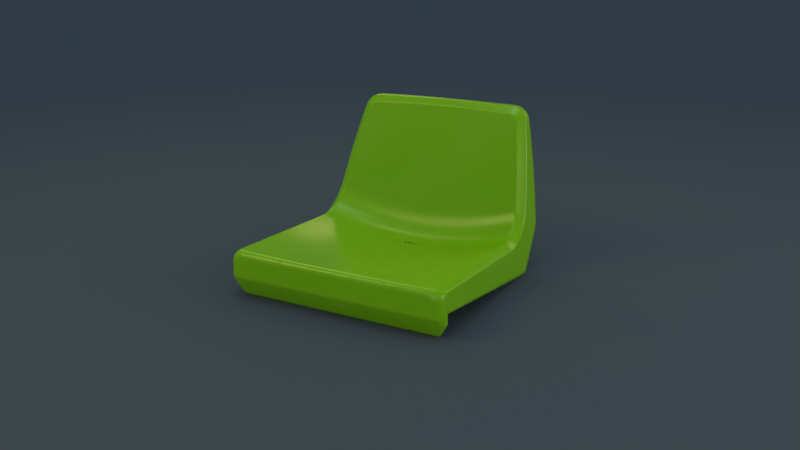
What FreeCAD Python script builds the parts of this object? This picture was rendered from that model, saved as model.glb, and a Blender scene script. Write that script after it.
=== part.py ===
import FreeCAD, Part, Sketcher
import math
import os

# Stadium seat: a one-piece moulded shell, open below and behind, on two steel hat rails.
# Frame: +X to the right of someone who faces the seat, +Y to its back, +Z up.
# The origin is the centre of the four anchor threads, on the plane that the seat stands on.

Vec = FreeCAD.Vector
doc = FreeCAD.newDocument("stadium_seat")
sheet = doc.addObject("Spreadsheet::Sheet", "Sizes")

# Driving dimensions in millimetres, and degrees for recline.
# A reach is a distance back from the nose face, and a height is taken from the ground.
sizes = {
    # outline of the shell, on its outside
    "front_width": 430.0,
    "bend_width": 436.8,
    "top_width": 361.0,
    "side_bow": 2.9,
    "flank_draft": 2.3,
    "pan_height": 89.0,
    "pan_fall": 10.4,
    "bend_reach": 347.7,
    "recline": 19.2,
    "crease_height": 303.3,
    "top_rise": 12.0,
    "back_reach": 454.3,
    "wall": 4.5,
    # edges and corners
    "seat_bevel": 12.9,
    "seat_bevel_drop": 6.0,
    "back_bevel": 16.3,
    "back_bevel_drop": 15.4,
    "front_corner_radius": 13.0,
    "back_corner_radius": 34.0,
    "front_edge_bevel": 7.6,
    # dish of the pan and of the backrest, down the middle
    "pan_dip": 35.0,
    "front_dip": 1.1,
    "back_dip": 11.0,
    "top_dip": 5.0,
    "back_crown": 2.7,
    "side_bend_radius": 80.0,
    "centre_bend_radius": 75.0,
    # nose skirt and flanks
    "nose_return": 22.2,
    "nose_chamfer_height": 38.0,
    "nose_chamfer": 20.3,
    "nose_side_chamfer_height": 24.5,
    "nose_side_chamfer": 14.2,
    "nose_foot_radius": 5.0,
    "flank_front_height": 43.5,
    "flank_foot_reach": 368.0,
    "flank_elbow_reach": 425.0,
    "flank_elbow_height": 86.0,
    # drain slot through the lowest part of the pan
    "slot_length": 30.0,
    "slot_width": 7.0,
    "slot_reach": 293.0,
    # ribs and bosses under the pan and behind the backrest
    "rib_thickness": 3.5,
    "rib_depth": 12.0,
    "inner_rib_spacing": 84.0,
    "cross_rib_height": 196.0,
    "boss_diameter": 28.0,
    "gusset_foot": 34.0,
    "gusset_reach": 24.0,
    # rails and where they sit
    "pattern_reach": 195.0,
    "rail_spacing": 210.0,
    "rail_length": 270.0,
    "rail_height": 30.0,
    "rail_crown_width": 44.0,
    "rail_flange_width": 26.0,
    "rail_gauge": 2.5,
    "rail_bend_radius": 2.0,
    "boss_pitch": 150.0,
    "anchor_pitch": 220.0,
    # threaded inserts, M8
    "insert_length": 18.0,
    "insert_diameter": 12.0,
    "insert_flange_diameter": 16.0,
    "insert_flange_thickness": 1.5,
    # rail bolts and washers, M8
    "bolt_diameter": 8.0,
    "bolt_length": 25.0,
    "bolt_head_flats": 13.0,
    "bolt_head_height": 5.3,
    "washer_diameter": 16.0,
    "washer_thickness": 1.6,
    "spring_washer_diameter": 13.6,
    "spring_washer_thickness": 2.0,
    "spring_washer_split": 1.2,
    # weld nuts for the anchors, M10
    "anchor_diameter": 10.0,
    "nut_flats": 17.0,
    "nut_height": 8.0,
    "nut_collar_diameter": 13.0,
    # clearances, on the radius, and room beyond the bolt's tip
    "hole_play": 0.5,
    "washer_play": 0.2,
    "thread_play": 0.08,
    "seat_play": 0.05,
    "tip_room": 3.0,
}
for row, (alias, value) in enumerate(sizes.items(), start=1):
    sheet.set(f"A{row}", alias)
    sheet.set(f"B{row}", str(value))
    sheet.setAlias(f"B{row}", alias)
doc.recompute()


def size(alias):
    return float(getattr(sheet, alias))


# Places that several pieces share.
nose_y = -size("pattern_reach")
corner_z = size("pan_height") - size("pan_fall")
top_z = size("crease_height") + size("top_rise")
lean = math.radians(size("recline"))
back_climb = size("crease_height") - corner_z
side_slope = (size("bend_width") - size("top_width")) / 2 / back_climb
quarter_turn = math.radians(90)
past = 4 * size("wall")


def reach(alias):
    return nose_y + size(alias)


def meet(start, run, other, other_run):
    # where two lines in the YZ plane cross
    step = other - start
    along = (step.y * other_run.z - step.z * other_run.y) / (run.y * other_run.z - run.z * other_run.y)
    return start + run * along


def bent_line(front, corner, top, radius):
    # a side view line with parameter t: 0 to 1 the pan, 1 to 2 the bend, 2 to 3 the back
    pan_run = (corner - front).normalize()
    back_run = (top - corner).normalize()
    turn = pan_run.getAngle(back_run)
    cut = radius * math.tan(turn / 2)
    first = corner - pan_run * cut
    last = corner + back_run * cut
    pan_up = Vec(0, -pan_run.z, pan_run.y)
    hub = first + pan_up * radius

    def point(t):
        if t <= 1:
            return front + (first - front) * t
        if t >= 2:
            return last + (top - last) * (t - 2)
        angle = turn * (t - 1)
        return hub - pan_up * (radius * math.cos(angle)) + pan_run * (radius * math.sin(angle))

    def normal(t):
        angle = turn * min(max(t - 1, 0.0), 1.0)
        return pan_up * math.cos(angle) - pan_run * math.sin(angle)

    return point, normal


def make_lines():
    # the edge line runs along the crease, the middle line down the centre of the dish
    front = Vec(0, nose_y, size("pan_height"))
    corner = Vec(0, reach("bend_reach"), corner_z)
    back_run = Vec(0, math.sin(lean), math.cos(lean))
    top = corner + back_run * (back_climb / back_run.z)
    edge, normal = bent_line(front, corner, top, size("side_bend_radius"))
    mid_front = front - Vec(0, 0, size("front_dip"))
    below = corner - Vec(0, 0, size("pan_dip"))
    behind = corner + Vec(0, size("back_dip"), 0)
    mid_top = top + Vec(0, size("top_dip"), 0)
    mid_corner = meet(mid_front, below - mid_front, behind, mid_top - behind)
    middle, _ = bent_line(mid_front, mid_corner, mid_top, size("centre_bend_radius"))
    return edge, middle, normal


edge_line, middle_line, line_normal = make_lines()


def back_half(z):
    # outer half width of the backrest at a height: a straight taper plus a shallow outward bow
    climb = (z - corner_z) / back_climb
    return size("bend_width") / 2 - (z - corner_z) * side_slope + 4 * size("side_bow") * climb * (1 - climb)


def side_slant(z):
    # how far the backrest's side leans in at a height, as an angle
    climb = (z - corner_z) / back_climb
    return math.atan(side_slope - 4 * size("side_bow") * (1 - 2 * climb) / back_climb)


def half_width(y, z):
    # outer half width of the shell: it flares back to the bend, then follows the backrest
    if z > corner_z:
        return min(back_half(z), size("bend_width") / 2)
    flare = min(max((y - nose_y) / size("bend_reach"), 0.0), 1.0)
    return size("front_width") / 2 + flare * (size("bend_width") - size("front_width")) / 2


def bend_share(t):
    return min(max(t - 1, 0.0), 1.0)


def bevel_at(t):
    # bevel width and drop: both grow from the pan's front edge to the backrest
    share = min(max(t, 0.0), 2.0) / 2
    width = size("seat_bevel") + share * (size("back_bevel") - size("seat_bevel"))
    drop = size("seat_bevel_drop") + share * (size("back_bevel_drop") - size("seat_bevel_drop"))
    return width, drop


def crease_half(t):
    point = edge_line(t)
    return half_width(point.y, point.z) - bevel_at(t)[0]


def face_point(x, t, inset=0.0):
    # a point of the dished face: the dip falls off as the square of the distance from the middle
    edge = edge_line(t)
    share = 1.0 - (x / crease_half(t)) ** 2
    point = edge + (middle_line(t) - edge) * share
    return Vec(x, point.y, point.z) - line_normal(t) * inset


def back_point(x, z):
    # the point of the backrest's dished face at the front view place x, z
    low, high = 2.0, 3.5
    for _ in range(40):
        middle = (low + high) / 2
        if face_point(x, middle).z < z:
            low = middle
        else:
            high = middle
    return face_point(x, (low + high) / 2)


pan_steps = [step / 11 for step in range(-1, 12)]
bend_steps = [1 + step / 5 for step in range(1, 6)]
back_steps = [2 + step / 8 for step in range(1, 12)]
path_steps = pan_steps + bend_steps + back_steps


def face_cutter(inset):
    # everything that lies over the pan and before the backrest, drawn out along its open side
    limit = size("bend_width") / 2 + 2 * size("wall")
    columns = [limit * step / 6 for step in range(-6, 7)]
    grid = [[face_point(x, t, inset) for x in columns] for t in path_steps]
    surface = Part.BSplineSurface()
    surface.interpolate(grid)
    open_side = (quarter_turn - lean) / 2
    lift = Vec(0, -math.sin(open_side), math.cos(open_side))
    return surface.toShape().extrude(lift * (2 * top_z))


def corner_centre():
    # centre of the crease's top corner arc, which touches the leaning side and the top line
    width = size("back_bevel")
    radius = size("back_corner_radius") - width
    z = size("crease_height") - radius
    return back_half(z) - width - radius / math.cos(side_slant(z)), z, radius


def crease_stations():
    # the crease's right half, from the nose up to the middle of the top:
    # each station has its point, its outward way, the bevel's downward way, width and drop
    stations = []
    hub_x, hub_z, radius = corner_centre()
    slant = side_slant(hub_z)
    for t in [step for step in path_steps if edge_line(step).z < hub_z - radius]:
        point = edge_line(t)
        tilt = slant * bend_share(t)
        swing = quarter_turn * bend_share(t)
        outward = Vec(math.cos(tilt), 0, math.sin(tilt))
        down = Vec(0, math.sin(swing), -math.cos(swing))
        stations.append((Vec(crease_half(t), point.y, point.z), outward, down, *bevel_at(t)))
    places = []
    for step in range(7):
        share = step / 6
        angle = slant + (quarter_turn - slant) * share
        outward = Vec(math.cos(angle), 0, math.sin(angle))
        width = size("back_bevel") + share * (size("top_rise") - size("back_bevel"))
        places.append((hub_x + radius * outward.x, hub_z + radius * outward.z, outward, width))
    for step in range(4, -1, -1):
        x = hub_x * step / 5
        crown = size("back_crown") * (1 - (x / hub_x) ** 2)
        places.append((x, size("crease_height") + crown, Vec(0, 0, 1), size("top_rise")))
    for x, z, outward, width in places:
        point = back_point(x, z)
        edge_y = reach("bend_reach") + (z - corner_z) * math.tan(lean)
        drop = size("back_bevel_drop") - (point.y - edge_y)
        stations.append((point, outward, Vec(0, 1, 0), width, drop))
    return stations


def bevel_bar(stations, inset):
    # a long three-sided bar along an edge, whose one flat side is the edge's bevel
    rows = [[], [], []]
    overrun = 0.35
    for point, outward, down, width, drop in stations:
        slope = outward * width + down * drop
        away = (outward * drop - down * width).normalize()
        base = point - away * inset
        rows[0].append(base - slope * overrun)
        rows[1].append(base + slope * (1 + 2 * overrun))
        rows[2].append(base + slope / 2 + away * (2 * width))
    curves = []
    for row in rows:
        curve = Part.BSplineCurve()
        curve.interpolate(row)
        curves.append(curve.toShape())
    sides = [Part.makeRuledSurface(curves[one], curves[(one + 1) % 3]) for one in range(3)]
    ends = []
    for end in (0, -1):
        corners = [row[end] for row in rows]
        ends.append(Part.Face(Part.makePolygon(corners + corners[:1])))
    skin = Part.makeShell(sides + ends)
    skin.sewShape()
    bar = Part.makeSolid(skin)
    if bar.Volume < 0:
        bar.reverse()
    return bar


def crease_bar(inset):
    right = crease_stations()
    left = []
    for point, outward, down, width, drop in reversed(right[:-1]):
        left.append((Vec(-point.x, point.y, point.z), Vec(-outward.x, 0, outward.z), down, width, drop))
    return bevel_bar(right + left, inset)


def front_bar(inset):
    # the bevel along the pan's front edge
    bevel = size("front_edge_bevel")
    limit = size("front_width") / 2 + 2 * size("wall")
    stations = []
    for step in range(-6, 7):
        spot = face_point(limit * step / 6, 0.0)
        stations.append((spot + Vec(0, bevel, 0), Vec(0, -1, 0), Vec(0, 0, -1), bevel, bevel))
    return bevel_bar(stations, inset)


def side_prism(outline, width, start_x=None):
    # a side view outline, as y and z pairs, drawn out across the seat
    first = -width / 2 if start_x is None else start_x
    corners = [Vec(first, y, z) for y, z in outline]
    return Part.Face(Part.makePolygon(corners + corners[:1])).extrude(Vec(width, 0, 0))


def plan_section(z, inset, rear, corner, front_cut=0.0, side_cut=0.0):
    # level outline of the shell at height z, with front corners of the given outside radius
    draft = size("flank_draft") * (1 - z / size("pan_height"))
    radius = corner - inset
    front = nose_y + inset + front_cut
    near = size("front_width") / 2 + draft - inset - side_cut
    far = size("bend_width") / 2 + draft - inset - side_cut
    bend = reach("bend_reach")
    bow = radius * (1 - math.sqrt(0.5))
    right = [Vec(near - radius, front, z), Vec(near - bow, front + bow, z), Vec(near, front + radius, z)]
    left = [Vec(-point.x, point.y, z) for point in reversed(right)]
    chain = [right[2], Vec(far, bend, z), Vec(far, rear, z), Vec(-far, rear, z), Vec(-far, bend, z), left[0]]
    edges = [Part.Arc(*right).toShape()]
    for start, stop in zip(chain, chain[1:]):
        edges.append(Part.makeLine(start, stop))
    edges.append(Part.Arc(*left).toShape())
    edges.append(Part.makeLine(left[2], right[0]))
    return Part.Wire(edges)


def nose_section(z, inset, rear):
    # level outline of the nose skirt, which leans in and gets sharper corners below its chamfer lines
    high = size("nose_chamfer_height")
    side_high = size("nose_side_chamfer_height")
    front_cut = size("nose_chamfer") * max(high - z, 0.0) / high
    side_share = max(side_high - z, 0.0) / side_high
    sharpen = size("front_corner_radius") - size("nose_foot_radius")
    corner = max(size("front_corner_radius") - sharpen * side_share, inset + size("nose_foot_radius") / 10)
    return plan_section(z, inset, rear, corner, front_cut, size("nose_side_chamfer") * side_share)


def front_view_block(inset):
    # the shell's front view: sides that lean in upwards, a crowned top and round top corners
    low_z = -2 * past
    high_z = top_z - inset
    start_y = nose_y - past
    right = []
    for z in (corner_z, (corner_z + high_z) / 2, high_z):
        right.append(Vec(back_half(z) - inset, start_y, z))
    low_right = Vec(right[0].x + past, start_y, low_z)
    left = [Vec(-point.x, start_y, point.z) for point in reversed(right)]
    low_left = Vec(-low_right.x, start_y, low_z)
    crown = Vec(0, start_y, high_z + size("back_crown"))
    outline = Part.Wire([Part.makeLine(low_left, low_right), Part.makeLine(low_right, right[0]),
                         Part.Arc(*right).toShape(), Part.Arc(right[2], crown, left[0]).toShape(),
                         Part.Arc(*left).toShape(), Part.makeLine(left[2], low_left)])
    block = Part.Face(outline).extrude(Vec(0, size("back_reach") + 12 * past, 0))
    corners = []
    for edge in block.Edges:
        box = edge.BoundBox
        if box.XLength < 0.01 and box.ZLength < 0.01 and box.ZMin > corner_z:
            corners.append(edge)
    return block.makeFillet(size("back_corner_radius") - inset, corners)


def envelope(inset, outline, levels, rear):
    # the seat's form, moved in by an inset: a drafted column behind a side view outline,
    # a skirt at the nose, the front view, and last the dished face and its bevel
    high = size("nose_chamfer_height")
    deep = min(levels)
    width = 2 * size("bend_width")
    corner = size("front_corner_radius")
    column = Part.makeLoft([plan_section(z, inset, rear, corner) for z in (deep, 2 * top_z)], True, True)
    skirt = Part.makeLoft([nose_section(z, inset, rear) for z in levels], True, True)
    nose_box = Part.makeBox(width, size("nose_return"), high - deep, Vec(-width / 2, nose_y, deep))
    form = column.common(side_prism(outline, width)).fuse(skirt.common(nose_box))
    form = form.common(front_view_block(inset))
    for cutter in (face_cutter(inset), crease_bar(inset), front_bar(inset)):
        form = form.cut(cutter)
    return form.removeSplitter()


def outer_form():
    high = size("nose_chamfer_height")
    outline = [(nose_y, high), (nose_y, 2 * top_z), (reach("back_reach"), 2 * top_z),
               (reach("back_reach"), top_z), (reach("flank_elbow_reach"), size("flank_elbow_height")),
               (reach("flank_foot_reach"), 0.0), (reach("nose_return"), size("flank_front_height")),
               (reach("nose_return"), high)]
    levels = [high, size("nose_side_chamfer_height"), 0.0]
    return envelope(0.0, outline, levels, reach("back_reach") + past)


def gussets(x, y):
    # two crossed webs that hold a boss, each wider at the pan than at its foot
    radius = size("boss_diameter") / 2
    wide = radius + size("gusset_reach")
    thick = size("rib_thickness")
    outline = [(y - radius, size("gusset_foot")), (y + radius, size("gusset_foot")),
               (y + wide, size("pan_height")), (y - wide, size("pan_height"))]
    along = side_prism(outline, thick, x - thick / 2)
    across = along.copy()
    across.rotate(Vec(x, y, 0), Vec(0, 0, 1), 90)
    return [along, across]


def rib_stock():
    # ribs and bosses: what stays solid inside the hollow. The ribs follow the dished face.
    width = 2 * size("bend_width")
    length = 2 * size("back_reach")
    thick = size("rib_thickness")
    boss_ys = [-size("boss_pitch") / 2, size("boss_pitch") / 2]
    bars = []
    for spacing in (size("inner_rib_spacing"), size("rail_spacing")):
        for x in (-spacing / 2, spacing / 2):
            bars.append(Part.makeBox(thick, length, 2 * top_z, Vec(x - thick / 2, nose_y, 0)))
    for y in boss_ys:
        bars.append(Part.makeBox(width, thick, top_z, Vec(-width / 2, y - thick / 2, 0)))
    cross_z = size("cross_rib_height") - thick / 2
    bars.append(Part.makeBox(width, length, thick, Vec(-width / 2, nose_y, cross_z)))
    stock = [face_cutter(size("wall") + size("rib_depth")).common(bars)]
    for x in (-size("rail_spacing") / 2, size("rail_spacing") / 2):
        for y in boss_ys:
            foot = Vec(x, y, size("rail_height"))
            stock.append(Part.makeCylinder(size("boss_diameter") / 2, size("pan_height"), foot))
            stock.extend(gussets(x, y))
    return stock


def hollow_form():
    # the hollow inside the walls, open below and behind, with the ribs and bosses left out
    high = size("nose_chamfer_height")
    rear = reach("back_reach") + past
    outline = [(nose_y, high), (nose_y, 2 * top_z), (rear, 2 * top_z), (rear, -past),
               (reach("nose_return"), -past), (reach("nose_return"), high)]
    levels = [high, size("nose_side_chamfer_height"), -past]
    form = envelope(size("wall"), outline, levels, rear + past)
    return form.cut(rib_stock())


# Bound objects: each takes its sizes and its place from the sheet.
def place(x, y, z):
    return {"Placement.Base.x": x, "Placement.Base.y": y, "Placement.Base.z": z}


def primitive(kind, name, links):
    item = doc.addObject(kind, name)
    for prop, rule in links.items():
        item.setExpression(prop, rule)
    return item


def cylinder(name, radius, height, spot):
    return primitive("Part::Cylinder", name, {"Radius": radius, "Height": height, **spot})


def join(kind, name, pieces):
    item = doc.addObject(kind, name)
    if kind == "Part::MultiFuse":
        item.Shapes = pieces
    else:
        item.Base, item.Tool = pieces
    return item


def sketch_on(body, role, name):
    sketch = body.newObject("Sketcher::SketchObject", name)
    plane = [item for item in body.Origin.OriginFeatures if item.Role == role][0]
    sketch.AttachmentSupport = [(plane, "")]
    sketch.MapMode = "FlatFace"
    return sketch


def pin(sketch, line, rules):
    # ties a line's first point to two expressions, across and up
    for kind, rule in zip(("DistanceX", "DistanceY"), rules):
        number = sketch.addConstraint(Sketcher.Constraint(kind, -1, 1, line, 1, sketch.evalExpression(rule)))
        sketch.setExpression(f"Constraints[{number}]", rule)


def draw_outline(sketch, corners):
    # a closed outline whose corners are pairs of expressions
    spots = [Vec(*[sketch.evalExpression(rule) for rule in corner], 0) for corner in corners]
    count = len(corners)
    for one in range(count):
        sketch.addGeometry(Part.LineSegment(spots[one], spots[(one + 1) % count]))
    for one in range(count):
        sketch.addConstraint(Sketcher.Constraint("Coincident", one, 2, (one + 1) % count, 1))
        pin(sketch, one, corners[one])


def turned_body(label, corners, spot):
    # a round piece from its half section, as radius and height
    body = primitive("PartDesign::Body", label, spot)
    sketch = sketch_on(body, "XZ_Plane", f"{label}_section")
    draw_outline(sketch, corners)
    turn = body.newObject("PartDesign::Revolution", f"{label}_turn")
    turn.Profile = sketch
    turn.ReferenceAxis = (sketch, ["V_Axis"])
    turn.Angle = 360
    return body


def ring(label, inner, outer, height, spot):
    return turned_body(label, [(inner, "0"), (outer, "0"), (outer, height), (inner, height)], spot)


def hexagon(name, flats, height, spot):
    # a hexagonal prism whose lower edge is turned off at 30 degrees
    prism = primitive("Part::Prism", f"{name}_prism",
                      {"Circumradius": f"{flats} / 2 / cos(30 deg)", "Height": height, **spot})
    prism.Polygon = 6
    cone = primitive("Part::Cone", f"{name}_cone",
                     {"Radius1": f"0.475 * {flats}", "Radius2": f"0.475 * {flats} + {height} / tan(30 deg)",
                      "Height": height, **spot})
    return join("Part::Common", name, (prism, cone))


def make_rail(label, side):
    # a hat section rail: crown up, a flange on each side, bolt holes above, nut holes outside
    body = primitive("PartDesign::Body", label, place(f"{side} * Sizes.rail_spacing / 2", "0", "0"))
    web = "Sizes.rail_crown_width / 2"
    tip = f"{web} + Sizes.rail_flange_width"
    gauge = "Sizes.rail_gauge"
    tall = "Sizes.rail_height"
    right = [(f"{web} - {gauge}", f"{tall} - {gauge}"), (f"{web} - {gauge}", "0"), (tip, "0"),
             (tip, gauge), (web, gauge), (web, tall)]
    left = [(f"-({across})", up) for across, up in reversed(right)]
    section = sketch_on(body, "XZ_Plane", f"{label}_section")
    draw_outline(section, right + left)
    pad = body.newObject("PartDesign::Pad", f"{label}_pad")
    pad.Profile = section
    pad.setExpression("Length", "Sizes.rail_length")
    pad.Midplane = True
    doc.recompute()
    inner, outer = [], []
    crown = size("rail_crown_width") / 2
    for number, edge in enumerate(pad.Shape.Edges, start=1):
        spot = edge.CenterOfMass
        if edge.BoundBox.YLength < size("rail_length") - 0.01 or abs(spot.x) > crown + 0.01:
            continue
        on_web = abs(spot.x) > crown - 0.01
        if on_web == (spot.z > size("rail_height") / 2):
            outer.append(f"Edge{number}")
        else:
            inner.append(f"Edge{number}")
    round_off = body.newObject("PartDesign::Fillet", f"{label}_bends")
    round_off.Base = (pad, inner)
    round_off.setExpression("Radius", "Sizes.rail_bend_radius")
    doc.recompute()
    outer_now = []
    for number, edge in enumerate(round_off.Shape.Edges, start=1):
        for old in outer:
            if edge.BoundBox.YLength < size("rail_length") - 0.01:
                continue
            if edge.CenterOfMass.distanceToPoint(pad.Shape.getElement(old).CenterOfMass) < 0.01:
                outer_now.append(f"Edge{number}")
    outside = body.newObject("PartDesign::Fillet", f"{label}_outer_bends")
    outside.Base = (round_off, outer_now)
    outside.setExpression("Radius", "Sizes.rail_bend_radius + Sizes.rail_gauge")
    doc.recompute()
    nut_x = f"{side} * ({web} + Sizes.rail_flange_width / 2)"
    holes = sketch_on(body, "XY_Plane", f"{label}_holes")
    for end in (-1, 1):
        draw_circle(holes, "0", f"{end} * Sizes.boss_pitch / 2", "Sizes.bolt_diameter / 2 + Sizes.hole_play")
        draw_circle(holes, nut_x, f"{end} * Sizes.anchor_pitch / 2",
                    "Sizes.nut_collar_diameter / 2 + Sizes.seat_play")
    pocket = body.newObject("PartDesign::Pocket", f"{label}_drill")
    pocket.Profile = holes
    pocket.Type = 1
    pocket.Midplane = True
    doc.recompute()
    if pocket.Shape.Volume >= outside.Shape.Volume:
        raise RuntimeError(f"{label}: the holes cut nothing")
    return body


def draw_circle(sketch, across, up, radius):
    spot = Vec(sketch.evalExpression(across), sketch.evalExpression(up), 0)
    wide = sketch.evalExpression(radius)
    line = sketch.addGeometry(Part.Circle(spot, Vec(0, 0, 1), wide))
    for kind, rule in (("DistanceX", across), ("DistanceY", up)):
        number = sketch.addConstraint(Sketcher.Constraint(kind, -1, 1, line, 3, sketch.evalExpression(rule)))
        sketch.setExpression(f"Constraints[{number}]", rule)
    number = sketch.addConstraint(Sketcher.Constraint("Radius", line, wide))
    sketch.setExpression(f"Constraints[{number}]", radius)


def make_shell(corners):
    # the moulding: its outer form less the hollow, then the drain slot and the insert bores
    outer = doc.addObject("Part::Feature", "shell_outer")
    outer.Shape = outer_form()
    hollow = doc.addObject("Part::Feature", "shell_hollow")
    hollow.Shape = hollow_form()
    blank = join("Part::Cut", "shell_blank", (outer, hollow))
    slot_y = "Sizes.slot_reach - Sizes.pattern_reach"
    slot_r = "Sizes.slot_width / 2"
    straight = "(Sizes.slot_length - Sizes.slot_width)"
    box_spot = place(f"-{straight} / 2", f"{slot_y} - {slot_r}", "0")
    bores = [primitive("Part::Box", "slot_middle",
                       {"Length": straight, "Width": "Sizes.slot_width", "Height": "Sizes.pan_height", **box_spot})]
    for end in (-1, 1):
        spot = place(f"{end} * {straight} / 2", slot_y, "0")
        bores.append(cylinder(f"slot_end_{end + 1}", slot_r, "Sizes.pan_height", spot))
    for name, x, y in corners:
        spot = place(x, y, "Sizes.rail_height")
        bores.append(cylinder(f"insert_bore_{name}", "Sizes.insert_diameter / 2 + Sizes.seat_play",
                              "Sizes.insert_length + Sizes.tip_room", spot))
        bores.append(cylinder(f"insert_recess_{name}", "Sizes.insert_flange_diameter / 2 + Sizes.seat_play",
                              "Sizes.insert_flange_thickness", spot))
    return join("Part::Cut", "seat_shell", (blank, join("Part::MultiFuse", "shell_bores", bores)))


def make_insert(label, x, y):
    bore = "Sizes.bolt_diameter / 2 + Sizes.thread_play"
    rim = "Sizes.insert_flange_diameter / 2"
    barrel = "Sizes.insert_diameter / 2"
    step = "Sizes.insert_flange_thickness"
    length = "Sizes.insert_length"
    corners = [(bore, "0"), (rim, "0"), (rim, step), (barrel, step), (barrel, length), (bore, length)]
    return turned_body(label, corners, place(x, y, "Sizes.rail_height"))


# Heights of the fasteners under the rail's crown, from the crown down to the bolt's head.
crown_low = "Sizes.rail_height - Sizes.rail_gauge"
flat_low = f"{crown_low} - Sizes.washer_thickness"
spring_low = f"{flat_low} - Sizes.spring_washer_thickness"
washer_bore = "Sizes.bolt_diameter / 2 + Sizes.washer_play"


def make_flat_washer(label, x, y):
    return ring(label, washer_bore, "Sizes.washer_diameter / 2", "Sizes.washer_thickness",
                place(x, y, flat_low))


def make_spring_washer(label, x, y):
    # a ring with one narrow split
    body = ring(label, washer_bore, "Sizes.spring_washer_diameter / 2", "Sizes.spring_washer_thickness",
                place(x, y, spring_low))
    split = sketch_on(body, "XY_Plane", f"{label}_split")
    half = "Sizes.spring_washer_split / 2"
    far = "Sizes.spring_washer_diameter"
    draw_outline(split, [(f"-({half})", "0"), (half, "0"), (half, far), (f"-({half})", far)])
    cut = body.newObject("PartDesign::Pocket", f"{label}_cut")
    cut.Profile = split
    cut.Type = 1
    cut.Midplane = True
    return body


def make_bolt(label, x, y):
    head = hexagon(f"{label}_head", "Sizes.bolt_head_flats", "Sizes.bolt_head_height",
                   place(x, y, f"{spring_low} - Sizes.bolt_head_height"))
    shank = cylinder(f"{label}_shank", "Sizes.bolt_diameter / 2",
                     "Sizes.bolt_length + Sizes.bolt_head_height / 2",
                     place(x, y, f"{spring_low} - Sizes.bolt_head_height / 2"))
    return join("Part::Fuse", label, (head, shank))


def make_weld_nut(label, x, y):
    # a hexagonal nut on the flange, whose collar fills the flange's hole
    body = primitive("Part::Prism", f"{label}_body",
                     {"Circumradius": "Sizes.nut_flats / 2 / cos(30 deg)", "Height": "Sizes.nut_height",
                      **place(x, y, "Sizes.rail_gauge")})
    body.Polygon = 6
    collar = cylinder(f"{label}_collar", "Sizes.nut_collar_diameter / 2",
                      "Sizes.rail_gauge + Sizes.nut_height / 2", place(x, y, "0"))
    bore = cylinder(f"{label}_bore", "Sizes.anchor_diameter / 2",
                    "Sizes.rail_gauge + Sizes.nut_height", place(x, y, "0"))
    return join("Part::Cut", label, (join("Part::Fuse", f"{label}_blank", (body, collar)), bore))


def make_pieces():
    corners = []
    anchors = []
    for end, end_name in ((-1, "front"), (1, "rear")):
        for side, side_name in ((-1, "left"), (1, "right")):
            name = f"{end_name}_{side_name}"
            corners.append((name, f"{side} * Sizes.rail_spacing / 2", f"{end} * Sizes.boss_pitch / 2"))
            nut_x = f"{side} * (Sizes.rail_spacing + Sizes.rail_crown_width + Sizes.rail_flange_width) / 2"
            anchors.append((name, nut_x, f"{end} * Sizes.anchor_pitch / 2"))
    pieces = [make_shell(corners), make_rail("mounting_rail_left", -1), make_rail("mounting_rail_right", 1)]
    for name, x, y in corners:
        pieces.append(make_insert(f"threaded_insert_{name}", x, y))
        pieces.append(make_flat_washer(f"flat_washer_{name}", x, y))
        pieces.append(make_spring_washer(f"spring_washer_{name}", x, y))
        pieces.append(make_bolt(f"rail_bolt_{name}", x, y))
    for name, x, y in anchors:
        pieces.append(make_weld_nut(f"weld_nut_{name}", x, y))
    return pieces


pieces = make_pieces()
doc.recompute()
for item in doc.Objects:
    if "Invalid" in item.State or "Error" in item.State:
        raise RuntimeError(f"{item.Label} failed: {item.State}")
os.makedirs("parts", exist_ok=True)
for piece in pieces:
    shape = piece.Shape
    if shape.isNull() or not shape.isValid() or len(shape.Solids) != 1:
        raise RuntimeError(f"{piece.Label} isn't one valid solid")
    shape.exportStep(f"parts/{piece.Label}.step")
    print(piece.Label, round(shape.Volume))
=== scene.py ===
import math
import bmesh
import bpy
import numpy as np
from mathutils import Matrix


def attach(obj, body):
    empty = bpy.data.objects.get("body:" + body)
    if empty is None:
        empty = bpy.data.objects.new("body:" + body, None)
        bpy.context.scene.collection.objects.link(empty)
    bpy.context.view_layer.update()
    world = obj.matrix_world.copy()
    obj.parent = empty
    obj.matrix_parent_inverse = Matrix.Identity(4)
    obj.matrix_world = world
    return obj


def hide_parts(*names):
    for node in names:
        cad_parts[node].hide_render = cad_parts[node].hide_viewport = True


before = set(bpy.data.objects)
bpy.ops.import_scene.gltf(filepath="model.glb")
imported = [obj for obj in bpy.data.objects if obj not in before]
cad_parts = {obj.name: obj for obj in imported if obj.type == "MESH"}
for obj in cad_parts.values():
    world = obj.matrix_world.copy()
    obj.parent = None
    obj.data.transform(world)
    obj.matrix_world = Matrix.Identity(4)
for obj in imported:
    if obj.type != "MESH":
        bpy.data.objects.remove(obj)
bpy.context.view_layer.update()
print("frame loaded:", len(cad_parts), "solids")

mm = 0.001

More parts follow.
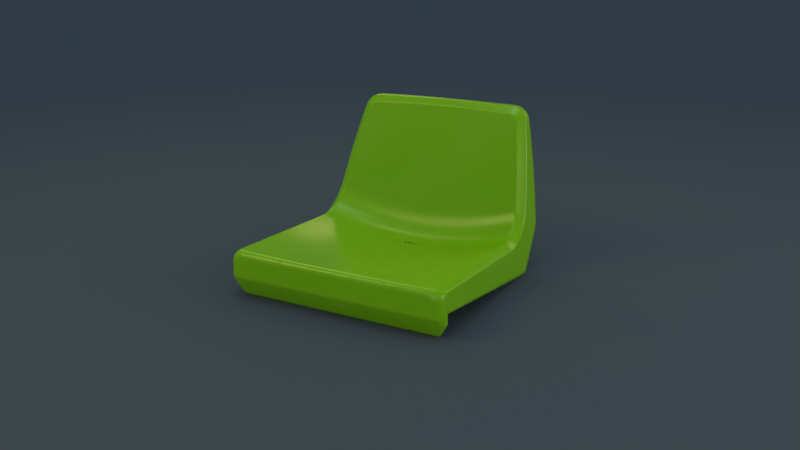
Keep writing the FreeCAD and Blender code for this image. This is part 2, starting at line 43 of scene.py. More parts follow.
# The moulded shell in millimetres. Here y is counted back from the nose face, z up from the ground.
form = {
    "frontWidth": 430.0, "bendWidth": 436.8, "topWidth": 361.0, "sideBow": 2.9, "flankDraft": 2.3,
    "panHeight": 89.0, "panFall": 10.4, "bendReach": 347.7, "recline": 19.2,
    "creaseHeight": 303.3, "topRise": 12.0, "backReach": 454.3, "wall": 4.5,
    "seatBevel": 12.9, "seatBevelDrop": 6.0, "backBevel": 16.3, "backBevelDrop": 15.4,
    "frontCornerRadius": 13.0, "backCornerRadius": 34.0, "frontBevel": 7.6,
    "panDip": 35.0, "frontDip": 1.1, "backDip": 11.0, "topDip": 5.0, "backCrown": 2.7,
    "sideBendRadius": 80.0, "centreBendRadius": 75.0,
    "noseReturn": 22.2, "noseChamferHeight": 38.0, "noseChamfer": 20.3,
    "noseSideHeight": 24.5, "noseSideChamfer": 14.2, "noseFootRadius": 5.0, "noseSoftness": 2.0,
    "cornerDip": 5.5, "cornerReach": 24.0, "cornerSoft": 8.0, "creaseSoft": 2.0, "edgeSoft": 2.8,
    "flankFront": 43.5, "footReach": 368.0, "elbowReach": 425.0, "elbowHeight": 86.0,
    "slotLength": 30.0, "slotWidth": 7.0, "slotReach": 293.0,
    "slotLip": 0.8, "slotLipSide": 0.25, "patternReach": 195.0, "sideSoft": 1.0,
}
cornerZ = form["panHeight"] - form["panFall"]
lean = math.radians(form["recline"])
climb = form["creaseHeight"] - cornerZ
topZ = form["creaseHeight"] + form["topRise"]
sideSlope = (form["bendWidth"] - form["topWidth"]) / 2 / climb


def stack(x, y, z):
    # three arrays, spread to one shape, as points
    return np.stack(np.broadcast_arrays(x, y, z), axis=-1).astype(float)


def unit(v):
    # each vector divided by its length
    return v / np.linalg.norm(v, axis=-1, keepdims=True)


def softRamp(d, soft):
    # 0 for d < -soft, d for d > soft, and (d + soft)^2 / (4 soft) in between
    return np.where(d > soft, d, np.where(d < -soft, 0.0, (d + soft) ** 2 / (4 * soft)))


def eased(share):
    # 3 s^2 - 2 s^3 for a share s between 0 and 1
    return share * share * (3 - 2 * share)


def softMin(a, b, soft):
    # (a + b - sqrt((a - b)^2 + soft^2)) / 2
    return (a + b - np.sqrt((a - b) ** 2 + soft * soft)) / 2


def bentLine(front, corner, top, radius):
    # a side view line: t 0 to 1 is straight, 1 to 2 an arc of the radius, 2 to 3 straight
    panRun, backRun = unit(corner - front), unit(top - corner)
    turn = math.acos(float(panRun @ backRun))
    cut = radius * math.tan(turn / 2)
    first, last = corner - panRun * cut, corner + backRun * cut
    panUp = np.array([-panRun[1], panRun[0]])
    hub = first + panUp * radius

    def point(t):
        t = np.asarray(t, float)[..., None]
        angle = turn * np.clip(t - 1, 0, 1)
        bend = hub - panUp * radius * np.cos(angle) + panRun * radius * np.sin(angle)
        return np.where(t <= 1, front + (first - front) * t,
                        np.where(t >= 2, last + (top - last) * (t - 2), bend))

    def normal(t):
        angle = turn * np.clip(np.asarray(t, float)[..., None] - 1, 0, 1)
        return panUp * np.cos(angle) - panRun * np.sin(angle)

    return point, normal


def meet(start, run, other, otherRun):
    # where two side view lines cross
    step = other - start
    along = (step[0] * otherRun[1] - step[1] * otherRun[0]) / (run[0] * otherRun[1] - run[1] * otherRun[0])
    return start + run * along


def makeLines():
    # the side views of the face's edge and of its middle, which lies deeper by the dips
    front = np.array([0.0, form["panHeight"]])
    corner = np.array([form["bendReach"], cornerZ])
    top = corner + np.array([math.tan(lean), 1.0]) * climb
    midFront = front - [0.0, form["frontDip"]]
    below = corner - [0.0, form["panDip"]]
    behind = corner + [form["backDip"], 0.0]
    midTop = top + [form["topDip"], 0.0]
    midCorner = meet(midFront, below - midFront, behind, midTop - behind)
    edge, normal = bentLine(front, corner, top, form["sideBendRadius"])
    middle, _ = bentLine(midFront, midCorner, midTop, form["centreBendRadius"])
    return edge, middle, normal


edgeLine, middleLine, lineNormal = makeLines()
bendStartY = edgeLine(np.array(1.0))[0]
bendEndZ = edgeLine(np.array(2.0))[1]


def backHalf(z):
    # half width of the backrest: a taper plus a bow of 4 b u (1 - u), where u is the share of the climb
    u = (z - cornerZ) / climb
    return form["bendWidth"] / 2 - (z - cornerZ) * sideSlope + 4 * form["sideBow"] * u * (1 - u)


def sideSlant(z):
    # how far the backrest's side leans in at z: the angle whose tangent is minus backHalf's slope
    u = (z - cornerZ) / climb
    return np.arctan(sideSlope - 4 * form["sideBow"] * (1 - 2 * u) / climb)


def flare(y):
    # how much further out than at the front each side is, which grows evenly back to the bend
    return (form["bendWidth"] - form["frontWidth"]) / 2 * np.clip(y / form["bendReach"], 0, 1)


def sideX(y, z):
    # outer side of flank and backrest: the softer of the drafted flank and the tapering back
    flank = form["frontWidth"] / 2 + flare(y) + form["flankDraft"] * (1 - z / form["panHeight"])
    return softMin(flank, backHalf(z), form["sideSoft"])


def bevelAt(t):
    # the bevel's width and drop, which pass evenly from those of the seat to those of the backrest
    share = np.clip(t, 0, 2) / 2
    width = form["seatBevel"] + share * (form["backBevel"] - form["seatBevel"])
    drop = form["seatBevelDrop"] + share * (form["backBevelDrop"] - form["seatBevelDrop"])
    return width, drop


def bendShare(t):
    # 0 on the pan, 1 on the backrest, eased over the bend
    return eased(np.clip(np.asarray(t, float) - 1, 0, 1))


def creaseHalf(t):
    # half width at the crease: the outer side less the bevel's width along its tilt
    y, z = np.moveaxis(edgeLine(t), -1, 0)
    width, _ = bevelAt(t)
    tilt = sideSlant(np.maximum(z, cornerZ)) * bendShare(t)
    outer = np.minimum(form["frontWidth"] / 2 + flare(y), backHalf(z + width * np.sin(tilt)))
    return outer - width * np.cos(tilt)


def facePoint(x, t, inset=0.0):
    # the dished face: edge + (middle - edge) (1 - (x / crease)^2), moved down its normal by the inset
    edge = edgeLine(t)
    share = (1 - (x / creaseHalf(t)) ** 2)[..., None]
    yz = edge + (middleLine(t) - edge) * share - lineNormal(t) * inset
    return stack(x, yz[..., 0], yz[..., 1])


# Where t is looked for: a little before the front edge when y is wanted, from the bend on when z is.
firstT = {1: -0.2, 2: 1.2}
lastT = 3.6
halvings = 36


def solveFace(x, target, axis, inset=0.0):
    # the face's t where y (axis 1) or z (axis 2) has the wanted value, by halving the t range
    x, target = np.broadcast_arrays(np.asarray(x, float), np.asarray(target, float))
    low = np.full(x.shape, firstT[axis])
    high = np.full(x.shape, lastT)
    for _ in range(halvings):
        middle = (low + high) / 2
        under = facePoint(x, middle, inset)[..., axis] < target
        low, high = np.where(under, middle, low), np.where(under, high, middle)
    return (low + high) / 2


# Counts of grid lines along each part of the shell's outline, and the grid's margins in millimetres.
shellGrid = {"across": 30, "corner": 8, "returnSteps": 3, "pan": 30, "bendSteps": 20, "back": 22,
             "topCorner": 14, "fillet": 5, "wallRows": 9, "noseRows": 16, "slotColumns": 3, "slotRings": 4,
             "frontFade": 9, "faceMargin": 6.0, "frontMargin": 16.0, "creaseCorner": 6.0,
             "topMargin": 5.0, "slotMargin": 9.0, "slotSpread": 1.5}

# A rounding takes at most this share of the slope beside it, and the inside has smaller roundings.
mostSoft = 0.48
insideSoft = 0.25

# Where the wall's lower end passes the bend's start, the foot, the elbow and the bend's end, as t.
rimKnots = [1.0, 1.35, 1.7, 2.0]


def sideRimPoint(t, y, z):
    # where the wall that starts at y, z on the bevel's outer edge ends, in the side view
    def rear(level):
        # the rear rim runs straight from the elbow up to the top
        share = (level - form["elbowHeight"]) / (topZ - form["elbowHeight"])
        return form["elbowReach"] + np.clip(share, 0, 1) * (form["backReach"] - form["elbowReach"])

    def bottom(reach):
        # the flank's lower edge runs straight from the nose down to the foot
        share = (reach - form["noseReturn"]) / (form["footReach"] - form["noseReturn"])
        return form["flankFront"] * (1 - share)

    highZ = bendEndZ + form["backBevel"] * math.sin(float(sideSlant(bendEndZ)))
    rimY = np.interp(t, rimKnots, [bendStartY, form["footReach"], form["elbowReach"], rear(highZ)])
    rimZ = np.interp(t, rimKnots, [bottom(bendStartY), 0.0, form["elbowHeight"], highZ])
    rimY = np.where(t <= 1, y, np.where(t >= 2, rear(z), rimY))
    rimZ = np.where(t <= 1, bottom(y), np.where(t >= 2, z, rimZ))
    return rimY, rimZ, rear


def nosePlan(station, z, inset):
    # plan of the nose skirt at height z: a straight front, a corner arc and the side up to the return
    # that cuts it off. Below the chamfer lines it leans in, and its corners get sharper.
    across, turn, along = station
    frontShare = softRamp(form["noseChamferHeight"] - z, form["noseSoftness"]) / form["noseChamferHeight"]
    sideShare = softRamp(form["noseSideHeight"] - z, form["noseSoftness"]) / form["noseSideHeight"]
    frontCut, sideCut = form["noseChamfer"] * frontShare, form["noseSideChamfer"] * sideShare
    radius = form["frontCornerRadius"] - (form["frontCornerRadius"] - form["noseFootRadius"]) * sideShare
    hubX = form["frontWidth"] / 2 + form["flankDraft"] * (1 - z / form["panHeight"]) - sideCut - radius
    hubY = frontCut + radius
    small = radius - inset
    most = np.arccos(np.clip((hubY - form["noseReturn"]) / small, 0, 1))
    x = across * hubX + small * np.sin(turn * most)
    y = hubY - small * np.cos(turn * most) + along * np.maximum(form["noseReturn"] - hubY, 0)
    return stack(x + flare(y) * (turn > 0), np.minimum(y, form["noseReturn"]), z)


def rounded(before, corner, after, leave, arrive, steps):
    # a corner rounded by a quadratic curve, with its two lengths along the sides
    s = np.linspace(0, 1, steps)[None, :, None]
    start = corner + unit(before - corner) * leave[:, None]
    stop = corner + unit(after - corner) * arrive[:, None]
    return start[:, None] * (1 - s) ** 2 + corner[:, None] * 2 * s * (1 - s) + stop[:, None] * s * s


def mitre(one, other, inset):
    # how far a corner moves in when the two surfaces beside it move in by the inset
    return inset * (one + other) / (1 + (one * other).sum(-1, keepdims=True))


def stretch(p0, p1, p2, outward, t, **others):
    # one stretch of the outline: a value that isn't given is that of the seat's sides
    values = {"soft1": form["creaseSoft"], "soft2": form["edgeSoft"], "across": 1.0, "turn": 1.0,
              "along": 0.0, **others}
    part = {key: np.full(len(t), value) for key, value in values.items()}
    return {"p0": p0, "p1": p1, "p2": p2, "outward": outward, "normal": lineNormal(t), "t": t, **part}


def rightStations():
    # the right half of the outline, from the middle of the front to the middle of the top:
    # the points on the face, the crease and the outer edge, and the ways that they face
    grid = shellGrid
    bevel, radius = form["frontBevel"], form["frontCornerRadius"]
    margin = grid["frontMargin"]
    frontT = margin / bendStartY
    creaseX = float(creaseHalf(np.array(frontT)))
    faceX = creaseX - grid["faceMargin"]
    # the front and its corner
    across = np.concatenate([np.linspace(0, 1, grid["across"] + 1), np.ones(grid["corner"])])
    turn = np.concatenate([np.zeros(grid["across"] + 1), np.linspace(0, 1, grid["corner"] + 1)[1:]])
    angle = turn * math.pi / 2
    x0 = across * faceX
    x1 = across * (creaseX - grid["creaseCorner"]) + grid["creaseCorner"] * np.sin(angle)
    y1 = bevel + (margin - bevel) * (1 - np.cos(angle))
    t0, t1 = solveFace(x0, margin, 1), solveFace(x1, y1, 1)
    p0, p1 = facePoint(x0, t0), facePoint(x1, t1)
    lipZ = facePoint(x1, solveFace(x1, 0.0, 1))[:, 2] - bevel
    sideZ = edgeLine(np.array(frontT))[1] - bevelAt(np.array(frontT))[1]
    z2 = lipZ + (sideZ - lipZ) * turn
    p2 = nosePlan((across, turn, np.zeros_like(turn)), z2, 0.0)
    outward = stack(np.sin(angle), -np.cos(angle), 0.0)
    frontSoft = bevel / math.sqrt(2)
    soft1 = frontSoft * (1 - turn) + form["creaseSoft"] * turn
    soft2 = frontSoft * (1 - turn) + form["edgeSoft"] * turn
    nose = stretch(p0, p1, p2, outward, t1, soft1=soft1, soft2=soft2, across=across, turn=turn)
    # the side up to the top corner
    hubZ = form["creaseHeight"] - (form["backCornerRadius"] - form["backBevel"])
    slant = float(sideSlant(hubZ))
    returnT = form["noseReturn"] / bendStartY
    cornerT = 2 + (hubZ - grid["topMargin"] - bendEndZ) / (form["creaseHeight"] - bendEndZ)
    t = np.concatenate([np.linspace(frontT, returnT, grid["returnSteps"] + 1)[:-1],
                        np.linspace(returnT, 1, grid["pan"] + 1)[:-1],
                        np.linspace(1, 2, grid["bendSteps"] + 1)[:-1],
                        np.linspace(2, cornerT, grid["back"])])
    edge = edgeLine(t)
    width, drop = bevelAt(t)
    tilt = sideSlant(np.maximum(edge[:, 1], cornerZ)) * bendShare(t)
    swing = np.clip(t - 1, 0, 1) * math.pi / 2
    outward = stack(np.cos(tilt), 0.0, np.sin(tilt))
    down = stack(0.0, np.sin(swing), -np.cos(swing))
    half = creaseHalf(t)
    p1 = stack(half, edge[:, 0], edge[:, 1])
    p0 = facePoint(half - grid["faceMargin"], t)
    p0[0] = nose["p0"][-1]
    p2 = p1 + outward * width[:, None] + down * drop[:, None]
    p2[:, 0] = sideX(p2[:, 1], p2[:, 2])
    isNose = np.arange(len(t)) <= grid["returnSteps"]
    along = np.where(isNose, (edge[:, 0] - radius) / (form["noseReturn"] - radius), 0.0)
    side = stretch(p0, p1, p2, outward, t, along=along)
    # the round top corner and the top
    small = form["backCornerRadius"] - form["backBevel"]
    hubX = float(backHalf(hubZ)) - form["backCornerRadius"] / math.cos(slant)
    outerCrown = form["backCrown"] * (1 - (hubX / (form["topWidth"] / 2)) ** 2)
    outerZ = topZ + outerCrown - form["backCornerRadius"]
    outerX = float(backHalf(outerZ)) - form["backCornerRadius"] / math.cos(float(sideSlant(outerZ)))
    angle = np.concatenate([np.linspace(slant, math.pi / 2, grid["topCorner"]),
                            np.full(grid["across"], math.pi / 2)])
    part = np.concatenate([np.ones(grid["topCorner"]), np.linspace(1, 0, grid["across"] + 1)[1:]])
    outward = stack(np.cos(angle), 0.0, np.sin(angle))
    crown = 1 - part ** 2
    x1 = hubX * part + small * np.cos(angle)
    z1 = hubZ + small * np.sin(angle) + form["backCrown"] * crown
    inner = small - grid["faceMargin"]
    x0 = hubX * part + inner * np.cos(angle)
    z0 = hubZ + inner * np.sin(angle) + form["backCrown"] * crown
    t0, t1 = solveFace(x0, z0, 2), solveFace(x1, z1, 2)
    p0, p1 = facePoint(x0, t0), facePoint(x1, t1)
    levelY = form["bendReach"] + (z1 - cornerZ) * math.tan(lean) + form["backBevelDrop"]
    p2 = stack(outerX * part + form["backCornerRadius"] * np.cos(angle), levelY,
               outerZ + form["backCornerRadius"] * np.sin(angle) + (form["backCrown"] - outerCrown) * crown)
    top = stretch(p0, p1, p2, outward, t1)
    stations = {key: np.concatenate([nose[key], side[key], top[key]]) for key in nose}
    # the front top corner is rounded all ways: its outer edge dips and its rounding grows
    arc = radius * (1 - math.sqrt(0.5))
    middle = np.array([form["frontWidth"] / 2 - arc, arc])
    away = np.linalg.norm(stations["p2"][:, :2] - middle, axis=1)
    near = eased(np.clip(1 - away / form["cornerReach"], 0, 1))
    stations["p2"][:, 2] -= form["cornerDip"] * near
    stations["arrive2"] = stations["soft2"] + form["cornerSoft"] * near
    most = mostSoft * np.linalg.norm(stations["p2"] - stations["p1"], axis=1)
    stations["soft1"] = np.minimum(stations["soft1"], most)
    stations["soft2"] = np.minimum(stations["soft2"] + form["cornerSoft"] * near, most)
    counts = (len(across) + grid["returnSteps"] + 1, len(across) + len(t))
    return stations, counts


stations, (noseCount, topStart) = rightStations()


def sidePlace(y, z, inset):
    # a point of the flank or the backrest's side, from its place in the side view
    return stack(sideX(y, z) - inset, y, z)


def ringGrid(inset):
    # the right half's profile rows: face, rounded crease, bevel, rounded outer edge and wall.
    # With an inset every row moves in by it, and the corners move by their mitres.
    s, steps, rows = stations, shellGrid["fillet"], shellGrid["wallRows"]
    n1 = stack(0.0, s["normal"][:, 0], s["normal"][:, 1])
    n3 = s["outward"]
    slope = unit(s["p2"] - s["p1"])
    n2 = unit(n3 - slope * (slope * n3).sum(-1, keepdims=True))
    p0 = s["p0"] - n1 * inset
    p1 = s["p1"] - mitre(n1, n2, inset)
    p2 = s["p2"] - mitre(n2, n3, inset)
    number = np.arange(len(p0))
    isNose, isTop = number < noseCount, number >= topStart
    station = (s["across"], s["turn"], s["along"])
    flankFront = form["flankFront"]
    p2[isNose] = nosePlan([v[isNose] for v in station], p2[isNose, 2], inset)
    isSide = ~isNose & ~isTop
    p2[isSide, 0] = sideX(p2[isSide, 1], p2[isSide, 2]) - inset
    # the wall's last point: nose stations end at the flank's height, the others at the rim
    rimY, rimZ, rear = sideRimPoint(s["t"], s["p2"][:, 1], s["p2"][:, 2])
    end = sidePlace(rimY, rimZ, inset)
    end[isTop] = stack(p2[isTop, 0], rear(s["p2"][isTop, 2]), p2[isTop, 2])
    end[isNose] = nosePlan([v[isNose] for v in station], np.full(noseCount, flankFront), inset)
    shrink = 1.0 if inset == 0 else insideSoft
    first = rounded(p0, p1, p2, s["soft1"] * shrink, s["soft1"] * shrink, steps)
    second = rounded(p1, p2, end, s["soft2"] * shrink, s["arrive2"] * shrink, steps)
    start = second[:, -1]
    part = np.linspace(0, 1, rows + 1)[1:]
    wall = start[:, None] + (end - start)[:, None] * part[None, :, None]
    wallY, wallZ = wall[..., 1], wall[..., 2]
    side = sidePlace(wallY, wallZ, inset)
    settle = (1 - part)[None, :]
    offset = start[:, 0] - sideX(start[:, 1], start[:, 2]) + inset
    side[..., 0] += offset[:, None] * settle
    wall[isSide] = side[isSide]
    level = start[isNose, 2][:, None] + (flankFront - start[isNose, 2])[:, None] * part[None, :]
    wall[isNose] = nosePlan([v[isNose][:, None] for v in station], level, inset)
    return np.concatenate([p0[:, None], first, second, wall], axis=1)


def noseGrid(inset):
    # the skirt below the flank's height, down to the ground
    z = form["flankFront"] * np.linspace(1, 0, shellGrid["noseRows"] + 1)
    station = [stations[key][:noseCount, None] for key in ("across", "turn", "along")]
    return nosePlan(station, z[None, :], inset)


def faceGrid(inset):
    # the dished face inside the ring: rows run across, the first along the front, the last along the top.
    # The first row is level, and the rows after it take up its shift of t bit by bit.
    share = np.linspace(-1, 1, 2 * shellGrid["across"] + 1)[None, :]
    firstSide = noseCount - shellGrid["returnSteps"] - 1
    rows = slice(firstSide, topStart + shellGrid["topCorner"])
    edge = stations["p0"][rows]
    x = edge[:, :1] * share
    t = stations["t"][rows, None] + 0 * x
    shift = solveFace(x[0], edge[0, 1], 1) - t[0]
    fade = np.clip(1 - np.arange(len(t)) / shellGrid["frontFade"], 0, 1)[:, None] + 0 * x
    fade[1:, [0, -1]] = 0
    t += shift * fade
    high = topStart - firstSide
    z = edge[high:, 2:]
    crown = form["backCrown"] * ((z - z[0]) / (z[-1] - z[0])) ** 2
    t[high:] = solveFace(x[high:], z + crown * (1 - share ** 2), 2)
    return facePoint(x, t, inset)


def mirrored(points):
    # the same points on the left
    return points * np.array([-1.0, 1.0, 1.0])


# In metres: how near two corners are when they count as one, and the shortest edge that is kept.
seamReach = 2e-6
leastEdge = 1e-7


class Skin:
    # gathers grids of points as one list of corners and one list of four-sided faces
    def __init__(self):
        self.points, self.faces, self.count = [], [], 0

    def add(self, grid, loopRows=False, loopColumns=False, keep=None, flip=False):
        rows, columns = grid.shape[:2]
        index = np.arange(rows * columns).reshape(rows, columns) + self.count
        if loopRows:
            index = np.vstack([index, index[:1]])
        if loopColumns:
            index = np.hstack([index, index[:, :1]])
        quads = np.stack([index[:-1, :-1], index[1:, :-1], index[1:, 1:], index[:-1, 1:]], axis=-1)
        quads = quads if keep is None else quads[keep]
        quads = quads.reshape(-1, 4)
        self.faces.append(quads[:, ::-1] if flip else quads)
        self.points.append(grid.reshape(-1, 3))
        self.count += rows * columns

    def build(self, name):
        # joins the grids at their seams, points the faces outwards and puts the mesh in the frame, where
        # it stands in for the solid shell
        points = np.concatenate(self.points) - [0.0, form["patternReach"], 0.0]
        faces = np.concatenate(self.faces)
        mesh = bpy.data.meshes.new(name)
        mesh.from_pydata((points * mm).tolist(), [], faces.tolist())
        made = bmesh.new()
        made.from_mesh(mesh)
        bmesh.ops.remove_doubles(made, verts=made.verts, dist=seamReach)
        bmesh.ops.dissolve_degenerate(made, edges=made.edges, dist=leastEdge)
        bmesh.ops.recalc_face_normals(made, faces=made.faces)
        if made.calc_volume(signed=True) < 0:
            bmesh.ops.reverse_faces(made, faces=made.faces)
        faulty = sum(len(edge.link_faces) != 2 for edge in made.edges)
        print(name, "faces", len(made.faces), "open or crowded edges", faulty)
        made.to_mesh(mesh)
        made.free()
        mesh.shade_smooth()
        piece = bpy.data.objects.new(name, mesh)
        bpy.context.scene.collection.objects.link(piece)
        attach(piece, "root")
        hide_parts("seat_shell")
        return piece


def wholeLoop(half):
    # the right half, then the left half back to the start
    return np.concatenate([half, mirrored(half[::-1])[1:-1]])


def wholeRow(half):
    # the left half reversed, then the right half
    return np.concatenate([mirrored(half[::-1])[:-1], half])


# How far the slot's two innermost rings go into the wall, as shares of the lip.
lipShares = np.array([1.0, 0.3])


def slotRingsOf(grid, inset):
    # the drain slot: rings of points that pass from the slot's round-ended outline to a window in the grid
    centre, side = shellGrid["across"], shellGrid["slotColumns"]
    y = grid[:, centre, 1]
    margin = shellGrid["slotMargin"]
    low = int(np.searchsorted(y, form["slotReach"] - margin)) - 1
    high = int(np.searchsorted(y, form["slotReach"] + margin))
    window = np.concatenate([grid[low, centre - side:centre + side], grid[low:high, centre + side],
                             grid[high, centre + side:centre - side:-1],
                             grid[high:low:-1, centre - side]])
    plan = window[:, :2] - [0.0, form["slotReach"]]
    straight, radius = (form["slotLength"] - form["slotWidth"]) / 2, form["slotWidth"] / 2
    core = np.clip(plan[:, 0] * straight / window[:, 0].max(), -straight, straight)
    core = np.stack([core, np.zeros_like(core)], axis=-1)
    way = unit(plan - core)
    share = np.linspace(0, 1, shellGrid["slotRings"] + 1)[:, None, None] ** shellGrid["slotSpread"]
    lip = form["slotLip"]
    inner = core + way * (radius + lip)
    rings = inner * (1 - share) + plan * share
    lips = np.stack([core + way * radius, core + way * (radius + form["slotLipSide"])])
    rings = np.concatenate([lips, rings])
    reach = rings[..., 1] + form["slotReach"]
    t = solveFace(rings[..., 0], reach, 1, inset)
    placed = facePoint(rings[..., 0], t, inset)
    placed[-1] = window
    # the lip is rounded into the wall, downwards on top and upwards below
    sign = -1.0 if inset == 0 else 1.0
    placed[:2, :, 2] += sign * lip * lipShares[:, None]
    keep = np.ones((grid.shape[0] - 1, grid.shape[1] - 1), bool)
    keep[low:high, centre - side:centre + side] = False
    return placed, keep


def makeShell():
    # the outer and the inner skin, each of a face, a slot, a ring and a nose, and the rims that join them
    skin = Skin()
    rims, noses, slots = [], [], []
    for inset, flip in ((0.0, False), (form["wall"], True)):
        face = faceGrid(inset)
        slotGrid, keep = slotRingsOf(face, inset)
        skin.add(face, keep=keep, flip=flip)
        skin.add(slotGrid, loopColumns=True, flip=flip)
        ring = ringGrid(inset)
        skin.add(wholeLoop(ring), loopRows=True, flip=flip)
        nose = wholeRow(noseGrid(inset))
        skin.add(nose, flip=flip)
        rims.append(ring[noseCount - 1:, -1])
        noses.append(nose)
        slots.append(slotGrid[0])
    skin.add(np.stack(slots), loopColumns=True)
    loops = [np.concatenate([half, mirrored(half[::-1])[1:]]) for half in rims]
    skin.add(np.stack(loops))
    skin.add(np.stack([nose[:, -1] for nose in noses]))
    for end in (0, -1):
        skin.add(np.stack([nose[end] for nose in noses]))
    return skin.build("seat_moulding")


shell = makeShell()
print("shell built")


# Ribs, bosses and webs on the underside, in the same millimetres as the shell.
ribForm = {"thickness": 3.5, "depth": 12.0, "embed": 2.5, "innerSpacing": 84.0, "outerSpacing": 210.0,
           "crossHeight": 196.0, "draft": 0.35, "tipRound": 0.6, "sideGap": 2.0, "sideDepth": 20.0,
           "endGap": 3.0, "creaseGap": 1.5, "bossPitch": 150.0, "bossRadius": 14.0, "bossFoot": 30.0,
           "bossFlare": 0.6, "bossEmbed": 1.0, "bossRound": 1.0, "roundMiddle": 0.3, "insertBore": 6.05,
           "insertRecess": 8.05, "recessDepth": 1.5, "boreDepth": 21.0, "gussetFoot": 34.0,
           "gussetReach": 24.0, "gussetEmbed": 2.0, "gussetRoof": 3.0,
           "steps": 60, "gussetSteps": 6, "bossSides": 40}
xWay, yWay, zWay = np.eye(3)


def addBand(skin, root, tip, side):
    # a rib from its root line to its tip line, a little thinner at the tip, with rounded tip edges
    half = ribForm["thickness"] / 2
    thin = half - ribForm["draft"]
    soft = ribForm["tipRound"]
    down = unit(tip - root)
    section = [root - side * half, tip - side * thin - down * soft, tip - side * (thin - soft),
               tip + side * (thin - soft), tip + side * thin - down * soft, root + side * half]
    skin.add(np.stack(section), loopRows=True)
    for end in (0, -1):
        cap = np.stack([line[end] for line in section])
        skin.add(np.stack([cap[:3], cap[:2:-1]]))


def underLine(x, y, inset):
    # a level run below the pan at the reach y, which goes down with the bevel outside the crease
    t = solveFace(x, y, 1, inset)
    point = facePoint(x, t, inset)
    over = np.maximum(np.abs(x) - creaseHalf(t) + ribForm["creaseGap"], 0)
    width, drop = bevelAt(t)
    point[:, 2] = np.where(over > 0, edgeLine(t)[:, 1] - inset - over * drop / width, point[:, 2])
    return point


def behindLine(x, z, inset):
    # a level run behind the backrest at the height z, which goes back with the bevel outside the crease
    t = solveFace(x, z, 2, inset)
    point = facePoint(x, t, inset)
    over = np.maximum(np.abs(x) - creaseHalf(t) + ribForm["creaseGap"], 0)
    width, drop = bevelAt(t)
    level = edgeLine(t)[:, 0] + inset / math.cos(lean)
    point[:, 1] = np.where(over > 0, level + over * drop / width, point[:, 1])
    return point


def makeRibs():
    # two pairs fore and aft, one across at each row of bosses and one across the backrest
    skin = Skin()
    embed, deep = ribForm["embed"], form["wall"] + ribForm["depth"]
    steps, gap = ribForm["steps"], ribForm["sideGap"]
    for spacing in (ribForm["innerSpacing"], ribForm["outerSpacing"]):
        for x in (-spacing / 2, spacing / 2):
            lines = []
            for inset in (embed, deep):
                first = float(solveFace(x, ribForm["endGap"], 1, inset))
                last = float(solveFace(x, topZ - ribForm["endGap"], 2, inset))
                t = first + (last - first) * np.linspace(0, 1, steps)
                lines.append(facePoint(np.full_like(t, x), t, inset))
            addBand(skin, lines[0], lines[1], xWay)
    bossYs = [form["patternReach"] + side * ribForm["bossPitch"] / 2 for side in (-1, 1)]
    for y in bossYs:
        limit = float(sideX(y, form["panHeight"] - ribForm["sideDepth"])) - gap
        x = np.linspace(-limit, limit, steps)
        addBand(skin, underLine(x, y, embed), underLine(x, y, deep), yWay)
    z = ribForm["crossHeight"]
    limit = float(backHalf(z)) - gap
    x = np.linspace(-limit, limit, steps)
    addBand(skin, behindLine(x, z, embed), behindLine(x, z, deep), zWay)
    for x in (-ribForm["outerSpacing"] / 2, ribForm["outerSpacing"] / 2):
        for y in bossYs:
            addBoss(skin, x, y)
    return skin.build("moulding_ribs")


def addBoss(skin, x, y):
    # a boss turned from its half section, and two crossed webs that widen up to the pan
    r, foot, soft = ribForm["bossRadius"], ribForm["bossFoot"], ribForm["bossRound"]
    spot = solveFace(np.array(x), np.array(y), 1)
    roof = float(facePoint(np.array(x), spot)[2]) - ribForm["embed"] - ribForm["bossEmbed"]
    bore, recess = ribForm["insertBore"], ribForm["insertRecess"]
    step, end = foot + ribForm["recessDepth"], foot + ribForm["boreDepth"]
    middle = ribForm["roundMiddle"] * soft
    profile = np.array([[0.0, roof], [r + ribForm["bossFlare"], roof], [r, foot + soft],
                        [r - middle, foot + middle], [r - soft, foot], [recess, foot],
                        [recess, step], [bore, step], [bore, end], [0.0, end]])
    angle = np.linspace(0, 2 * math.pi, ribForm["bossSides"] + 1)[:-1]
    skin.add(stack(x + profile[:, :1] * np.cos(angle), y + profile[:, :1] * np.sin(angle),
                   profile[:, 1:] + 0 * angle), loopColumns=True)
    low, inner = ribForm["gussetFoot"], ribForm["gussetEmbed"]
    share = np.linspace(0, 1, ribForm["gussetSteps"])
    for way, side in ((yWay, xWay), (xWay, yWay)):
        for sign in (-1, 1):
            out = (r - inner + share * (ribForm["gussetReach"] + inner)) * sign
            places = np.array([x, y, 0.0]) + way * out[:, None]
            t = solveFace(places[:, 0], places[:, 1], 1, ribForm["embed"])
            root = facePoint(places[:, 0], t, ribForm["embed"])
            tip = places.copy()
            tip[:, 2] = low + share * (root[:, 2] - ribForm["gussetRoof"] - low)
            addBand(skin, root, tip, side)


ribs = makeRibs()
print("ribs built")


def newGroup(name, inputs, outputs):
    # a shader node group with named inputs, as label and first value, and named outputs
    group = bpy.data.node_groups.new(name, "ShaderNodeTree")
    kinds = {float: "NodeSocketFloat", tuple: "NodeSocketColor", list: "NodeSocketVector"}
    for label, value in inputs.items():
        socket = group.interface.new_socket(name=label, in_out="INPUT", socket_type=kinds[type(value)])
        if not isinstance(value, list):
            socket.default_value = value
    for label, value in outputs.items():
        group.interface.new_socket(name=label, in_out="OUTPUT", socket_type=kinds[type(value)])
    return group, group.nodes.new("NodeGroupInput"), group.nodes.new("NodeGroupOutput")


def addNode(tree, kind, settings, inputs):
    # a node with its settings, and its inputs, by number or name, set to values or linked to sockets
    node = tree.nodes.new(kind)
    for key, value in settings.items():
        setattr(node, key, value)
    for place, value in inputs.items():
        if isinstance(value, bpy.types.NodeSocket):
            tree.links.new(value, node.inputs[place])
        else:
            node.inputs[place].default_value = value
    return node


def sums(tree, operation, one, two=0.0, three=0.0):
    # one step of arithmetic on values that change over the surface
    return addNode(tree, "ShaderNodeMath", {"operation": operation}, {0: one, 1: two, 2: three}).outputs[0]


